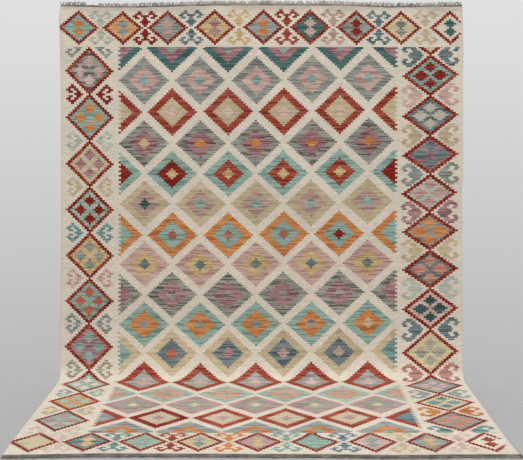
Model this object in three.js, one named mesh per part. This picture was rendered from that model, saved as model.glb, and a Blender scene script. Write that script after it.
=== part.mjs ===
// A flat-woven kilim rug that hangs by its top end, turns at the floor and lies flat towards the viewer.
//
// Millimetres, +Z up, +X to the right, the patterned face towards -Y (and up where the rug lies down).
// The rug is one woven sheet, and its warp ends are plaited into a narrow uneven band at either end.
// A place on the rug is (across, along, out): across the width from the middle, along the warps from the
// line where the rug leaves the floor (up the hanging part is positive, towards the viewer negative), and
// out from the underside towards the face.

import * as THREE from "three";

// Driving dimensions of the cloth.
const CLOTH_WIDTH = 2000;
const HANGING_LENGTH = 1871; // along the cloth, from the floor line to its top end
const FLOOR_LENGTH = 831; // from the floor line to its bottom end
const CLOTH_THICKNESS = 3;
// A limp sheet that is held at the top and dragged on the floor hangs in a catenary. This is its
// parameter: the drag of the floor over the weight of each length, and the tightest bend radius.
const BEND_RADIUS = 40;

// The plaited warp ends: a firm plait next to the cloth, and looser ends beyond it.
const END_GAP = 0.3; // between the cloth and its plaited ends, which are solids of their own
const BAND_THICKNESS = 5;
const BANDS = {
  top: { plait: 11, looseEnds: 15, direction: 1, phase: 0 },
  bottom: { plait: 14, looseEnds: 28, direction: -1, phase: 1.3 },
};
const TOOTH_SLIT = 6;
const TIP_SHARE = 0.7; // of a tooth's width, at its tip
const TOOTH_VARIATION = 0.22; // share of a tooth's length

// Sections of the sheet.
const COLUMNS = 16; // 125 mm wide
const TEETH_PER_COLUMN = 3; // so that the end line bends only at the edge of a tooth
const FINE_STEP = 9; // along the cloth in the bend
const COARSE_STEP = 110; // along the cloth where it is nearly straight
const STEP_GROWTH = 0.28; // how fast the step grows with the distance from the bend

// How far each side stands out from the nominal width, by the distance from the top end.
const SIDE_WANDER = [
  { fromTop: 0, left: -5, right: -6 },
  { fromTop: 50, left: 2, right: -4 },
  { fromTop: 150, left: -1, right: 0 },
  { fromTop: 400, left: -3, right: 1 },
  { fromTop: 600, left: -2, right: 2 },
  { fromTop: 850, left: 0, right: 5 },
  { fromTop: 930, left: 0, right: -2 },
  { fromTop: 1050, left: 1, right: 3 },
  { fromTop: 1350, left: 2, right: 5 },
  { fromTop: 1600, left: 6, right: 4 },
  { fromTop: 1720, left: 1, right: -1 },
  { fromTop: 1830, left: -9, right: -7 },
  { fromTop: 1950, left: -12, right: -12 },
  { fromTop: 2130, left: -7, right: -11 },
  { fromTop: 2400, left: -2, right: -9 },
  { fromTop: 2570, left: 3, right: -7 },
  { fromTop: 2702, left: 0, right: -4 },
];

// How far the two ends run past the nominal length, by the nominal distance from the left side. The
// rows lie on column lines, so that the cloth and its bands share one broken line.
const END_WANDER = [
  { fromLeft: 0, top: 2, bottom: 8 },
  { fromLeft: 250, top: -5, bottom: -1 },
  { fromLeft: 375, top: -5, bottom: -6 },
  { fromLeft: 500, top: -2, bottom: -6 },
  { fromLeft: 750, top: 5, bottom: -3 },
  { fromLeft: 1000, top: 5, bottom: -1 },
  { fromLeft: 1250, top: 5, bottom: 1 },
  { fromLeft: 1375, top: 4, bottom: 5 },
  { fromLeft: 1500, top: 0, bottom: 8 },
  { fromLeft: 1625, top: -5, bottom: 7 },
  { fromLeft: 1750, top: -3, bottom: 3 },
  { fromLeft: 2000, top: 0, bottom: 1 },
];

// Stretches of the bands whose loose ends have worn short, and the share of them that is left.
const WORN_STRETCHES = [
  { end: "top", fromLeft: 120, toLeft: 190, left: 0.2 },
  { end: "top", fromLeft: 1235, toLeft: 1270, left: 0.3 },
];

// Soft flutes of the hanging part, which the bend and the floor press flat.
const FLUTES = [
  { height: 2.6, wavelength: 1450, phase: 0.4 },
  { height: 1.6, wavelength: 620, phase: 2.1 },
];
const FLUTES_START = 250; // up the cloth from the floor line
const FLUTES_FULL = 1100;

const END_PLACES = { top: HANGING_LENGTH, bottom: -FLOOR_LENGTH }; // along the cloth

const CREAM = 0xcfc3ad;
const WARP_BROWN = 0x8f8378;

/** The value of a column of a table at a place between its rows, on straight lines. */
function between(table, key, place, column) {
  const next = table.findIndex((row) => row[key] >= place);
  if (next === 0) return table[0][column];
  if (next < 0) return table[table.length - 1][column];
  const [a, b] = [table[next - 1], table[next]];
  return THREE.MathUtils.mapLinear(place, a[key], b[key], a[column], b[column]);
}

/** How far the flutes lift the cloth at a place. */
function fluteHeight(across, along) {
  const share = THREE.MathUtils.smoothstep(along, FLUTES_START, FLUTES_FULL);
  const wave = ({ height, wavelength, phase }) =>
    height * Math.sin((2 * Math.PI * across) / wavelength + phase + along / CLOTH_WIDTH);
  return share * FLUTES.reduce((sum, flute) => sum + wave(flute), 0);
}

/** The point in space of a place on the rug. */
function placeOnRug(across, along, out) {
  const lifted = out + fluteHeight(across, along);
  if (along <= 0) return new THREE.Vector3(across, along, lifted);
  const slope = Math.atan(along / BEND_RADIUS);
  const run = BEND_RADIUS * Math.asinh(along / BEND_RADIUS);
  const rise = Math.hypot(along, BEND_RADIUS) - BEND_RADIUS;
  return new THREE.Vector3(
    across,
    run - lifted * Math.sin(slope),
    rise + lifted * Math.cos(slope),
  );
}

/** The sheet's place across at a share (-1 to 1) of the half width. */
function acrossAt(share, along) {
  const fromTop = HANGING_LENGTH - along;
  const side = share < 0 ? "left" : "right";
  return share * (CLOTH_WIDTH / 2 + between(SIDE_WANDER, "fromTop", fromTop, side));
}

/** The cloth's own end line, "top" or "bottom", at a share of the half width. */
function endLine(end, share) {
  const wander = between(END_WANDER, "fromLeft", ((share + 1) * CLOTH_WIDTH) / 2, end);
  return END_PLACES[end] + BANDS[end].direction * wander;
}

/**
 * A closed shell over the cells of a grid. rows[j][i] is { across, along }, and hasCell(i, j) says
 * whether the cell between columns i and i + 1 and rows j and j + 1 is cloth.
 */
function shellOverGrid(rows, thickness, hasCell) {
  const positions = [];
  const numbers = new Map();
  const vertex = (i, j, out) => {
    const key = `${i},${j},${out}`;
    if (!numbers.has(key)) {
      numbers.set(key, numbers.size);
      const { across, along } = rows[j][i];
      positions.push(...placeOnRug(across, along, out).toArray());
    }
    return numbers.get(key);
  };
  const triangles = [];
  const quad = (a, b, c, d) => triangles.push(a, b, c, a, c, d);
  const cell = (i, j) =>
    j >= 0 && j < rows.length - 1 && i >= 0 && i < rows[j].length - 1 && hasCell(i, j);
  const wall = ([i0, j0], [i1, j1]) =>
    quad(
      vertex(i0, j0, 0),
      vertex(i1, j1, 0),
      vertex(i1, j1, thickness),
      vertex(i0, j0, thickness),
    );
  for (let j = 0; j < rows.length - 1; j += 1) {
    for (let i = 0; i < rows[j].length - 1; i += 1) {
      if (!cell(i, j)) continue;
      const corners = [[i, j], [i + 1, j], [i + 1, j + 1], [i, j + 1]];
      quad(...corners.map(([p, q]) => vertex(p, q, thickness)));
      quad(...corners.reverse().map(([p, q]) => vertex(p, q, 0)));
      if (!cell(i, j - 1)) wall([i, j], [i + 1, j]);
      if (!cell(i + 1, j)) wall([i + 1, j], [i + 1, j + 1]);
      if (!cell(i, j + 1)) wall([i + 1, j + 1], [i, j + 1]);
      if (!cell(i - 1, j)) wall([i, j + 1], [i, j]);
    }
  }
  const geometry = new THREE.BufferGeometry();
  geometry.setAttribute("position", new THREE.Float32BufferAttribute(positions, 3));
  geometry.setIndex(triangles);
  geometry.computeVertexNormals();
  return geometry;
}

/** Places along the cloth for its sections: close together in the bend and further apart away from it. */
function sectionPlaces() {
  const places = [0];
  const step = (distance) => Math.min(COARSE_STEP, FINE_STEP + STEP_GROWTH * distance);
  for (let s = step(0); s < HANGING_LENGTH - FINE_STEP; s += step(s)) places.push(s);
  places.push(HANGING_LENGTH);
  const floorSteps = Math.ceil(FLOOR_LENGTH / COARSE_STEP);
  for (let k = 1; k <= floorSteps; k += 1) places.unshift((-FLOOR_LENGTH * k) / floorSteps);
  return places;
}

function clothGeometry() {
  const places = sectionPlaces();
  const ends = { 0: "bottom", [places.length - 1]: "top" };
  const rows = places.map((along, j) =>
    Array.from({ length: COLUMNS + 1 }, (_, i) => {
      const share = (2 * i) / COLUMNS - 1;
      return {
        across: acrossAt(share, along),
        along: j in ends ? endLine(ends[j], share) : along,
      };
    }),
  );
  return shellOverGrid(rows, CLOTH_THICKNESS, () => true);
}

/** How long a tooth's loose ends are, which varies from tooth to tooth. */
function toothLength(end, number, fromLeft) {
  const sway = Math.sin(2.4 * number) * Math.cos(0.9 * number + BANDS[end].phase);
  const worn = WORN_STRETCHES.find(
    (w) => w.end === end && fromLeft > w.fromLeft && fromLeft < w.toLeft,
  );
  return BANDS[end].looseEnds * (1 + TOOTH_VARIATION * sway) * (worn ? worn.left : 1);
}

/** One plaited end as a comb: a firm plait along the cloth, and teeth of loose warp ends. */
function bandGeometry(end) {
  const { plait, direction } = BANDS[end];
  const teeth = COLUMNS * TEETH_PER_COLUMN;
  const pitch = CLOTH_WIDTH / teeth;
  const inner = [];
  const root = [];
  const tip = [];
  for (let n = 0; n < teeth; n += 1) {
    const from = n * pitch;
    const to = from + pitch - (n < teeth - 1 ? TOOTH_SLIT : 0);
    const middle = (from + to) / 2;
    const length = toothLength(end, n, middle);
    for (const fromLeft of [from, to]) {
      const share = (2 * fromLeft) / CLOTH_WIDTH - 1;
      const across = acrossAt(share, END_PLACES[end]);
      const start = endLine(end, share) + direction * END_GAP;
      inner.push({ across, along: start });
      root.push({ across, along: start + direction * plait });
      tip.push({
        across: across + (1 - TIP_SHARE) * (middle - fromLeft),
        along: start + direction * (plait + length),
      });
    }
  }
  const rows = end === "top" ? [inner, root, tip] : [tip, root, inner];
  const looseRow = end === "top" ? 1 : 0;
  return shellOverGrid(rows, BAND_THICKNESS, (i, j) => j !== looseRow || i % 2 === 0);
}

const clothMaterial = new THREE.MeshStandardMaterial({ color: CREAM, roughness: 0.95, metalness: 0 });
const warpMaterial = new THREE.MeshStandardMaterial({ color: WARP_BROWN, roughness: 0.95, metalness: 0 });

/** A named mesh, which is one sub-part. */
function subPart(name, geometry, material) {
  const mesh = new THREE.Mesh(geometry, material);
  mesh.name = name;
  return mesh;
}

const rug = new THREE.Group();
rug.add(
  subPart("rug_cloth", clothGeometry(), clothMaterial),
  subPart("fringe_top", bandGeometry("top"), warpMaterial),
  subPart("fringe_bottom", bandGeometry("bottom"), warpMaterial),
);

// The origin is the middle of the footprint, on the floor.
const footprint = new THREE.Box3().setFromObject(rug, true).getCenter(new THREE.Vector3());
rug.position.set(-footprint.x, -footprint.y, 0);

export default rug;
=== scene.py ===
# %% [markdown]
# # A kilim rug, hung by its top end
# A kilim is a flat-woven rug without pile. Its coloured wefts are packed down until they hide the
# warps, so the pattern is built of small steps, and both faces look the same. This rug hangs by its
# top end, turns in a tight bend at the floor and lies flat towards the viewer.
#
# The CAD model is loaded first and never changes: it holds the sizes and the fold. Everything below
# gives its three pieces, the cloth and its two fringes, the look of wool.

# %% Load the CAD model
import math
from dataclasses import dataclass

import bpy
import numpy as np
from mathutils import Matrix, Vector


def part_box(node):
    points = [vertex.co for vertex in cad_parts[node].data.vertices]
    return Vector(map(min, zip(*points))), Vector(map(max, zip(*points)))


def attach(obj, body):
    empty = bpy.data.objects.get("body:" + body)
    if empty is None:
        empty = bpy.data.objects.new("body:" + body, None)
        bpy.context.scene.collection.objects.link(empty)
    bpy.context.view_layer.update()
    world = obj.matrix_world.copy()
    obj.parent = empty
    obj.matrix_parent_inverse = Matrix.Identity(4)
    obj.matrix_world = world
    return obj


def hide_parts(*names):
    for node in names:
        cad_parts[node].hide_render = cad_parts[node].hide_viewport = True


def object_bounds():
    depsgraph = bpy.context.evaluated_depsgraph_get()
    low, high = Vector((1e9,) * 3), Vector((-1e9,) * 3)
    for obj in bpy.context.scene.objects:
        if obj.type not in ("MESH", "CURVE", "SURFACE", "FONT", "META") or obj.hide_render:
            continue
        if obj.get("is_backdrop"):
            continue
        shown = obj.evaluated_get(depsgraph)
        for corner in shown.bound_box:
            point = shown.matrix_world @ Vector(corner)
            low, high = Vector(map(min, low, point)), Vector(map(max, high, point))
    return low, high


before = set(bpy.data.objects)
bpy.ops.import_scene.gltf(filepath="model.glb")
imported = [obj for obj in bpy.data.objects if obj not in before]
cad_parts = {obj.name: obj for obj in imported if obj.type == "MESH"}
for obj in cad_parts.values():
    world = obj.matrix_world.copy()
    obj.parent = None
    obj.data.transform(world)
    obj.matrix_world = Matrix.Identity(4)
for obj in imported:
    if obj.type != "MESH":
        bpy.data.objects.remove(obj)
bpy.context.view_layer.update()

scene = bpy.context.scene
print("CAD nodes:", sorted(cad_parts))

# %% [markdown]
# ## The sizes of the cloth
# All lengths are metres. A place on the rug is (across, along, out): across the width from the
# middle, along the warps from the line where the rug leaves the floor, and out from the underside
# towards the face. The same few driving sizes shape the CAD solid, so the cloth fits it everywhere.

# %% Driving sizes
CLOTH_WIDTH = 2.0
HANGING_LENGTH = 1.871
FLOOR_LENGTH = 0.831
CLOTH_LENGTH = HANGING_LENGTH + FLOOR_LENGTH
CLOTH_THICKNESS = 0.003
BEND_RADIUS = 0.040
LONGEST_RUN = 0.008  # of the bottom end past its nominal length
FLOOR_LINE_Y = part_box("rug_cloth")[0][1] + FLOOR_LENGTH + LONGEST_RUN

FLUTES = [(0.0026, 1.450, 0.4), (0.0016, 0.620, 2.1)]  # height, wavelength, phase
FLUTES_START = 0.25
FLUTES_FULL = 1.10
print("flat cloth:", CLOTH_WIDTH, "by", CLOTH_LENGTH, "m; floor line at y =", round(FLOOR_LINE_Y, 4))

# %% [markdown]
# ## Its edges are not straight
# Hand weaving pulls the sides in and lets them out by up to a centimetre, and the ends run past the
# nominal length here and there. Two short tables say how far, outwards being positive, and straight
# lines join their points.

# %% Wander of the sides and ends, in millimetres
SIDE_WANDER = {  # from the top end: left, right
    0: (-5, -6), 50: (2, -4), 150: (-1, 0), 400: (-3, 1), 600: (-2, 2), 850: (0, 5), 930: (0, -2),
    1050: (1, 3), 1350: (2, 5), 1600: (6, 4), 1720: (1, -1), 1830: (-9, -7), 1950: (-12, -12),
    2130: (-7, -11), 2400: (-2, -9), 2570: (3, -7), 2702: (0, -4),
}
END_WANDER = {  # from the left side: top, bottom
    0: (2, 8), 250: (-5, -1), 375: (-5, -6), 500: (-2, -6), 750: (5, -3), 1000: (5, -1),
    1250: (5, 1), 1375: (4, 5), 1500: (0, 8), 1625: (-5, 7), 1750: (-3, 3), 2000: (0, 1),
}
END_FADE = 0.15  # the length of cloth that takes up an end's wander


def wander(table, place, column):
    """Metres of wander at a place in metres, along one column of a table."""
    knots = np.array(list(table)) / 1000
    values = np.array([row[column] for row in table.values()]) / 1000
    return np.interp(place, knots, values)


print("just above the fold the left side stands", round(1000 * wander(SIDE_WANDER, 1.83, 0)), "mm out")

# %% [markdown]
# ## From the flat cloth to its fold
# A limp sheet held at the top and dragged on the floor hangs in a catenary, which is nearly a right
# angle with a small round bend. Soft flutes run down the hanging part, and the floor presses them
# flat. One function places any point of the cloth and of its fringes.

# %% The fold
def flute_height(across, along):
    """How far the flutes lift the cloth."""
    share = np.clip((along - FLUTES_START) / (FLUTES_FULL - FLUTES_START), 0, 1)
    share = share * share * (3 - 2 * share)
    turn = along / CLOTH_WIDTH
    waves = sum(h * np.sin(2 * np.pi * across / w + p + turn) for h, w, p in FLUTES)
    return share * waves


def place_on_rug(across, along, out):
    """Points in space, as rows of (x, y, z), of places on the rug."""
    across, along, out = np.broadcast_arrays(across, along, out)
    lifted = out + flute_height(across, along)
    hanging = np.maximum(along, 0)
    slope = np.arctan(hanging / BEND_RADIUS)
    run = BEND_RADIUS * np.arcsinh(hanging / BEND_RADIUS)
    rise = np.hypot(hanging, BEND_RADIUS) - BEND_RADIUS
    y = np.minimum(along, 0) + run - lifted * np.sin(slope)
    z = rise + lifted * np.cos(slope)
    return np.stack([across, y + FLOOR_LINE_Y, z], axis=-1)


top_edge = place_on_rug(0.0, HANGING_LENGTH, 0.0)
print("top edge at", np.round(top_edge, 4))

# %% [markdown]
# ## The camera
# It stands straight in front of the rug at eye height and looks a little down. A slight shift of
# the lens, as on a view camera, keeps the hanging part upright in the picture.

# %% Camera
CAMERA_DISTANCE = 3.069  # in front of the rug's bottom end
CAMERA_HEIGHT = 1.364
CAMERA_PITCH = math.radians(4.0)
CAMERA_LENS = 56.17
CAMERA_SHIFT = -0.1364

camera = bpy.data.objects.new("camera", bpy.data.cameras.new("camera"))
scene.collection.objects.link(camera)
camera.location = (0, FLOOR_LINE_Y - FLOOR_LENGTH - CAMERA_DISTANCE, CAMERA_HEIGHT)
camera.rotation_euler = (math.radians(90) - CAMERA_PITCH, 0, 0)
camera.data.lens = CAMERA_LENS
camera.data.shift_y = CAMERA_SHIFT
scene.camera = camera
print("camera at", tuple(round(c, 3) for c in camera.location))

# %% [markdown]
# ## Studio light
# Wool shows its own colour best under broad, soft light. Two low softboxes stand in front, left and
# right, a narrow one hangs over the fold and lights the floor part, and one behind lights the back.

# %% Softboxes
scene.view_settings.view_transform = "Standard"


def softbox(name, place, target, width, height, power):
    """A broad area lamp that looks from a place at a target."""
    lamp = bpy.data.lights.new(name, "AREA")
    lamp.shape = "RECTANGLE"
    lamp.size = width
    lamp.size_y = height
    lamp.energy = power
    holder = bpy.data.objects.new(name, lamp)
    scene.collection.objects.link(holder)
    holder.location = place
    holder.rotation_euler = (Vector(target) - Vector(place)).to_track_quat("-Z", "Y").to_euler()
    return holder


boxes = [
    softbox("left_softbox", (-1.6, -3.9, 0.45), (0, 0.3, 0.5), 2.4, 0.8, 34),
    softbox("right_softbox", (1.8, -3.8, 0.45), (0, 0.3, 0.5), 2.0, 0.8, 34),
    softbox("top_softbox", (0, 0.34, 3.9), (0, 0.30, 0), 3.0, 0.25, 114),
    softbox("back_softbox", (0, 2.8, 2.6), (0, 0.6, 0.3), 3.0, 1.8, 20),
]
print("lamps:", [box.name for box in boxes])

# %% [markdown]
# ## The room
# The room looks like a plain grey sweep that darkens downwards, and only the camera sees that: the
# light it gives is even. So the backdrop can be set without changing the light on the wool.

# %% Room
ROOM_LIGHT = 0.72
SWEEP_TOP = 0.766
SWEEP_BOTTOM = 0.418
SWEEP_REACH = (-0.42, 0.14)  # how far down and up a ray points where the sweep is darkest and palest
WHITE = (1, 1, 1, 1)

room = bpy.data.worlds.new("room")
scene.world = room
room.use_nodes = True
nodes = room.node_tree.nodes
links = room.node_tree.links
nodes.clear()
direction = nodes.new("ShaderNodeTexCoord")
split = nodes.new("ShaderNodeSeparateXYZ")
links.new(direction.outputs["Generated"], split.inputs[0])
sweep = nodes.new("ShaderNodeMapRange")
sweep.inputs["From Min"].default_value = SWEEP_REACH[0]
sweep.inputs["From Max"].default_value = SWEEP_REACH[1]
sweep.inputs["To Min"].default_value = SWEEP_BOTTOM
sweep.inputs["To Max"].default_value = SWEEP_TOP
links.new(split.outputs["Z"], sweep.inputs["Value"])
seen = nodes.new("ShaderNodeBackground")
seen.inputs["Color"].default_value = WHITE
links.new(sweep.outputs["Result"], seen.inputs["Strength"])
given = nodes.new("ShaderNodeBackground")
given.inputs["Color"].default_value = WHITE
given.inputs["Strength"].default_value = ROOM_LIGHT
path = nodes.new("ShaderNodeLightPath")
either = nodes.new("ShaderNodeMixShader")
links.new(path.outputs["Is Camera Ray"], either.inputs["Fac"])
links.new(given.outputs[0], either.inputs[1])
links.new(seen.outputs[0], either.inputs[2])
world_out = nodes.new("ShaderNodeOutputWorld")
links.new(either.outputs[0], world_out.inputs["Surface"])
print("room light:", ROOM_LIGHT, "and sweep from", SWEEP_BOTTOM, "to", SWEEP_TOP)

# %% [markdown]
# ## Small tools for materials
# A material is a graph of nodes. These helpers add a node, set or link its inputs in one call and
# give back its output, so that a formula in the shader reads like a formula in the script.

# %% Node helpers
def linear(hex_colour):
    """Linear RGB of a colour written as in a paint chart, such as #c5bbaa."""
    values = [int(hex_colour[i:i + 2], 16) / 255 for i in (1, 3, 5)]
    return tuple(v / 12.92 if v <= 0.04045 else ((v + 0.055) / 1.055) ** 2.4 for v in values)


def feed(tree, target, value):
    """Links a node's output to an input, or writes a plain value there."""
    if isinstance(value, bpy.types.NodeSocket):
        tree.links.new(value, target)
    else:
        target.default_value = value


def math_node(tree, operation, *values):
    node = tree.nodes.new("ShaderNodeMath")
    node.operation = operation
    for target, value in zip(node.inputs, values):
        feed(tree, target, value)
    return node.outputs[0]


def vector_node(tree, operation, *values):
    node = tree.nodes.new("ShaderNodeVectorMath")
    node.operation = operation
    for target, value in zip(node.inputs, values):
        feed(tree, target, value)
    return node.outputs[0]


def mix_colour(tree, share, below, above, blend="MIX"):
    """A share of one colour laid over another."""
    node = tree.nodes.new("ShaderNodeMix")
    node.data_type = "RGBA"
    node.blend_type = blend
    feed(tree, node.inputs[0], share)
    feed(tree, node.inputs[6], below)
    feed(tree, node.inputs[7], above)
    return node.outputs[2]


def mix_value(tree, share, below, above):
    """A share of one number laid over another."""
    node = tree.nodes.new("ShaderNodeMix")
    node.data_type = "FLOAT"
    feed(tree, node.inputs[0], share)
    feed(tree, node.inputs[2], below)
    feed(tree, node.inputs[3], above)
    return node.outputs[0]


def ramp(tree, value, from_low, from_high, to_low=0.0, to_high=1.0):
    """A smooth step of a value from one range to another."""
    node = tree.nodes.new("ShaderNodeMapRange")
    node.interpolation_type = "SMOOTHSTEP"
    for name, number in (("Value", value), ("From Min", from_low), ("From Max", from_high),
                         ("To Min", to_low), ("To Max", to_high)):
        feed(tree, node.inputs[name], number)
    return node.outputs["Result"]


def noise(tree, place, scale=1.0, detail=2.0, roughness=0.5):
    node = tree.nodes.new("ShaderNodeTexNoise")
    feed(tree, node.inputs["Vector"], place)
    node.inputs["Scale"].default_value = scale
    node.inputs["Detail"].default_value = detail
    node.inputs["Roughness"].default_value = roughness
    return node.outputs["Fac"]


def vector_of(tree, x, y, z=0.0):
    """A place made of its parts."""
    node = tree.nodes.new("ShaderNodeCombineXYZ")
    for target, value in zip(node.inputs, (x, y, z)):
        feed(tree, target, value)
    return node.outputs[0]


def parts_of(tree, vector):
    """The three parts of a place."""
    node = tree.nodes.new("ShaderNodeSeparateXYZ")
    feed(tree, node.inputs[0], vector)
    return node.outputs[0], node.outputs[1], node.outputs[2]


def attribute(tree, name):
    node = tree.nodes.new("ShaderNodeAttribute")
    node.attribute_name = name
    return node


print("cream as linear light:", [round(v, 3) for v in linear("#c5bbaa")])

# %% [markdown]
# ## Node groups and materials
# What several colours or pieces share, such as the streaks of the wool, is a node group: a small
# graph with named inputs and outputs, built once and placed wherever it is needed. Each material
# keeps its own shader.

# %% Groups and materials
def new_group(name, inputs, outputs):
    """A node group with named inputs and outputs, and its tree, input node and output node."""
    tree = bpy.data.node_groups.new(name, "ShaderNodeTree")
    for label, kind in inputs:
        tree.interface.new_socket(label, in_out="INPUT", socket_type="NodeSocket" + kind)
    for label, kind in outputs:
        tree.interface.new_socket(label, in_out="OUTPUT", socket_type="NodeSocket" + kind)
    return tree, tree.nodes.new("NodeGroupInput"), tree.nodes.new("NodeGroupOutput")


def use_group(tree, group, **values):
    """Places a node group in a tree; underscores in the names stand for spaces."""
    node = tree.nodes.new("ShaderNodeGroup")
    node.node_tree = group
    for label, value in values.items():
        feed(tree, node.inputs[label.replace("_", " ")], value)
    return node


def new_material(name):
    """An empty node material and its tree, with one Principled shader."""
    material = bpy.data.materials.new(name)
    material.use_nodes = True
    tree = material.node_tree
    tree.nodes.clear()
    shader = tree.nodes.new("ShaderNodeBsdfPrincipled")
    output = tree.nodes.new("ShaderNodeOutputMaterial")
    tree.links.new(shader.outputs[0], output.inputs["Surface"])
    return material, tree, shader


print("node groups so far:", len(bpy.data.node_groups))

# %% [markdown]
# ## The dyed yarns
# The weaver works with about forty wools, many of them only a dye bath apart. Lilac, lichen and steel
# are paler copies of mauve, sage and slate, used mostly where the rug lies on the floor: painted
# light, for the sheen that wool shows there at a grazing angle. Hand-spun yarn takes dye unevenly,
# so each colour comes with a number that says how streaky it weaves, from 0, even, to 1. Weavers
# call this abrash.

# %% Yarns: colour and streakiness
YARNS = {
    "cream": ("#c7bdae", 0.10), "stone": ("#aea798", 0.30), "ash": ("#948c79", 0.70),
    "pale straw": ("#beae8d", 0.40), "straw": ("#b79e74", 0.60), "pale khaki": ("#b9a991", 0.40),
    "khaki": ("#b0a083", 0.35), "amber": ("#b98e62", 0.45), "orange": ("#b57744", 0.60),
    "salmon": ("#b5816e", 0.60), "coral": ("#a45746", 0.35),
    "brick": ("#8e3c2c", 0.60), "dark red": ("#781c14", 0.35), "plum": ("#8a6668", 0.85),
    "mauve": ("#947072", 0.75), "dusty": ("#a58b80", 0.65), "old rose": ("#b3958c", 0.65),
    "pale pink": ("#bba096", 0.55), "dark teal": ("#40605e", 0.45), "teal": ("#64827e", 0.60),
    "aqua": ("#80998f", 0.65), "pale aqua": ("#93a396", 0.65), "sage": ("#848880", 0.65),
    "pale sage": ("#a6a99b", 0.50), "grey green": ("#84837b", 0.95), "slate": ("#616e70", 0.65),
    "grey blue": ("#868e8b", 0.65), "pale slate": ("#92938d", 0.65), "rosewood": ("#97604f", 0.50),
    "madder": ("#6f150f", 0.35), "russet": ("#93402a", 0.35), "deep teal": ("#36504e", 0.50),
    "lilac": ("#a18686", 0.55), "lichen": ("#909084", 0.55), "faded rose": ("#b28f7d", 0.60),
    "faded red": ("#a3756b", 0.65), "dull teal": ("#6a8886", 0.80), "steel": ("#677a81", 0.70),
    "pale rose": ("#bbaaa0", 0.40), "celery": ("#b5ab90", 0.40), "peach": ("#c49c76", 0.40),
}
print(len(YARNS), "yarns")

# %% [markdown]
# ## The plan of the pattern
# Every figure is a stepped lozenge: a cell that lies i steps across and j steps down from its centre
# belongs to it where |i| + |j| is small enough. A field lozenge has three rings of colour. A border
# diamond has an outline two steps wide and four small dots, or two. Between the diamonds stand
# hooked figures, which the weaver knows as a small chart.

# %% One figure
UNCUT = (-99, 99)
NO_DOT = 99
PLAIN, FLECKED, UPRIGHT, NARROW, WIDE = range(5)  # kinds: two of stepped figures, three of hooks


@dataclass
class Figure:
    across: float  # its centre, from the middle of the rug
    down: float  # its centre, from the top end
    step: tuple  # the width and height of one stair
    reach: tuple  # half its width and height
    sizes: tuple = (-1, -1, -1)  # steps to the edge of its outer ring, inner ring and heart
    dots: tuple = (0, 0)  # how far its heart's copies lie across and down, in steps
    cut: tuple = UNCUT  # the first and last column, where the field's edge cuts it
    yarns: tuple = ("cream", "cream", "cream")
    kind: int = PLAIN
    tilt: float = 0.0  # how steeply its wefts climb to the right


def each(choice, number):
    """One yarn for every figure of a row, or a yarn of its own for each."""
    return [choice] * number if isinstance(choice, str) else list(choice)


print("a figure is told by its", ", ".join(Figure.__dataclass_fields__))

# %% [markdown]
# ## The field
# Sixteen rows of lozenges stand in a brick pattern. The first row, the third and so on hold four and
# a half lozenge at either side, whose straight edge is woven as a comb so that no long slit opens.
# The rows between them hold five.

# %% Field rows, from the top
FIELD_MIDDLE = -0.0260
FIELD_PITCH = 0.279
LEFT_HALF = -0.719
RIGHT_HALF = 0.670
STAIR_WIDTH = 0.0118
USUAL = (10, 6, 2)  # steps to the edge of the outer ring, the inner ring and the heart
TURN = (11, 7, 3)
LYING = (11, 7, 2)
LAST = (11, 6, 2)
HEIGHT_SHARE = 0.755  # of the distance between rows
LEFT_CUT = (2, 99)  # the first and last column that a half lozenge keeps, at the left side
RIGHT_CUT = (-99, -1)

FIELD_ROWS = [  # millimetres from the top end, sizes, then the yarns of outer ring, inner ring and heart
    (204, USUAL, "dark teal", "mauve", "sage"),
    (360, USUAL, "sage", "old rose", "aqua"),
    (517, USUAL, "brick", "khaki", "pale pink"),
    (673, USUAL, "grey green", "plum", ("straw", "orange", "orange", "orange", "orange")),
    (825, USUAL, "aqua", ("dark red", "dark red", "brick", "brick", "brick", "dark red"), "straw"),
    (976, USUAL, "khaki", "dusty", ("deep teal", "aqua", "aqua", "aqua", "aqua")),
    (1132, USUAL, "orange", "aqua", ("aqua", "rosewood", "rosewood", "rosewood", "dark red", "aqua")),
    (1280, USUAL, "old rose", "straw", "slate"),
    (1429, USUAL, "grey green", "mauve", "grey green"),
    (1578, USUAL, "aqua", "orange", ("sage", "sage", "sage", "sage", "khaki")),
    (1721, USUAL, "khaki", ("aqua", "slate", "slate", "slate", "slate", "teal"),
     ("slate", "coral", "mauve", "dusty", "dusty", "slate")),
    (1889, TURN, "brick", "pale slate", "pale pink"),
    # the rows from here on lie on the floor: paler lilac, lichen and steel stand in for mauve, sage and
    # slate there, painted light for the sheen of wool at a grazing angle
    (2048, LYING, "pale aqua", "faded rose", "lichen"),
    (2186, LYING, "lilac", "lichen", "pale straw"),
    (2339, LYING, ("brick", "dark red", "brick", "brick", "brick", "brick"),
     ("grey blue", "pale khaki", "pale khaki", "pale khaki", "pale khaki", "steel"), "lilac"),
    (2487, LAST, "grey blue", "orange", "aqua"),
]
FIELD_TOP = 0.197
FIELD_BOTTOM = 2.497
print(len(FIELD_ROWS), "rows of lozenges")

# %% [markdown]
# ## The field's small faults
# The rows climb a little to the right and sag in the middle, as they do on a loom that is not quite
# square, and a few columns lean. A hand also sets each lozenge a little beside its even place.

# %% Placing the lozenges
ROW_CLIMB = 0.0088
CLIMB_FADES = (1.75, 2.00)  # down the rug, where the rows become level
ROW_BOW = 0.013  # how far a row's ends rise, at a metre from its lowest place
ROW_LOW_PLACE = -0.12
COLUMN_DRIFT = (0.27, 0.25, -0.008)  # across: the columns that drift, their spread, how far
DRIFT_GROWS = ((0.3, 1.4), (0.3, 1))  # places down the rug, and the share of the drift there
HAND_WANDER = 0.0025
PATTERN_SEED = 16


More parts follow.
